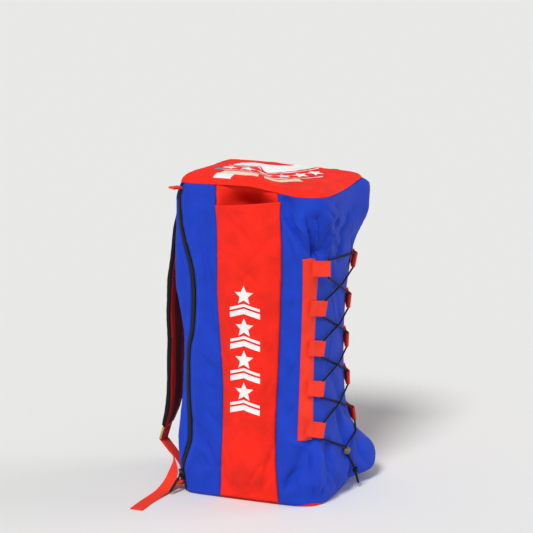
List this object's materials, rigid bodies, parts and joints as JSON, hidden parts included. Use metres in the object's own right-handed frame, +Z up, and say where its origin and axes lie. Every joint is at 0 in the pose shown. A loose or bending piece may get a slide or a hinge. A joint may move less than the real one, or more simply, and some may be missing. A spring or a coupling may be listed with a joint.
{
  "type": "baseball bat backpack",
  "caption": "Tall soft backpack with side sleeves for bats, a laced front with cord lock, a side zip and padded shoulder straps with adjustable webbing.",
  "frame": {"origin": "centre of the base's underside, on the floor", "axes": "+Z up, -Y out of the laced front, +Y out of the back with the shoulder straps, -X out of the side with the zip"},
  "size_m": [0.4866, 0.4013, 0.6479],
  "materials": {
    "blue_cloth": "matt woven nylon, saturated blue",
    "red_cloth": "matt woven nylon, bright red",
    "red_webbing": "ribbed woven webbing, bright red",
    "black_padding": "padded mesh and cloth, black with red faces in the render",
    "black_cord": "braided round cord, black",
    "black_metal": "black enamelled zinc, slightly worn",
    "black_zip": "woven zip tape with moulded teeth, black",
    "brass": "satin antique brass",
    "olive_plastic": "satin olive-bronze moulding"
  },
  "bodies": {
    "bag": {"front_panel": "blue_cloth", "zip_panel": "blue_cloth", "back_panel": "blue_cloth", "side_panel_left": "red_cloth", "bat_sleeve_left": "red_cloth", "side_panel_right": "red_cloth", "bat_sleeve_right": "red_cloth", "top_panel": "red_cloth", "bottom_panel": "red_cloth", "zip_strip": "black_zip", "zip_slider": "black_metal", "zip_tab_top": "red_webbing", "zip_tab_bottom": "red_webbing", "shoulder_strap_left": "black_padding", "strap_buckle_left": "brass", "strap_link_left": "red_webbing", "strap_webbing_left": "red_webbing", "lace_strip_left": "red_webbing", "lace_loop_left_1": "red_webbing", "lace_loop_left_2": "red_webbing", "lace_loop_left_3": "red_webbing", "lace_loop_left_4": "red_webbing", "lace_loop_left_5": "red_webbing", "shoulder_strap_right": "black_padding", "strap_buckle_right": "brass", "strap_link_right": "red_webbing", "strap_webbing_right": "red_webbing", "lace_strip_right": "red_webbing", "lace_loop_right_1": "red_webbing", "lace_loop_right_2": "red_webbing", "lace_loop_right_3": "red_webbing", "lace_loop_right_4": "red_webbing", "lace_loop_right_5": "red_webbing", "lacing_cord": "black_cord", "cord_lock_barrel": "olive_plastic", "lacing_tails": "black_cord", "lacing_knot": "black_cord"},
    "zip_pull": {"zip_pull": "black_metal"},
    "cord_lock_button": {"cord_lock_button": "olive_plastic"}
  },
  "joints": [
    {"name": "zip_pull_hinge", "type": "hinge", "parent": "bag", "child": "zip_pull", "pos_m": [-0.12383, 0.15595, 0.03666], "axis": [0.6072, 0.7946, 0], "range_deg": [0, 130]},
    {"name": "cord_lock_press", "type": "slide", "parent": "bag", "child": "cord_lock_button", "axis": [-0.9954, -0.0932, 0.0233], "range_m": [0, 0.0035], "stiffness_N_per_m": 800, "springref_m": -0.001}
  ]
}
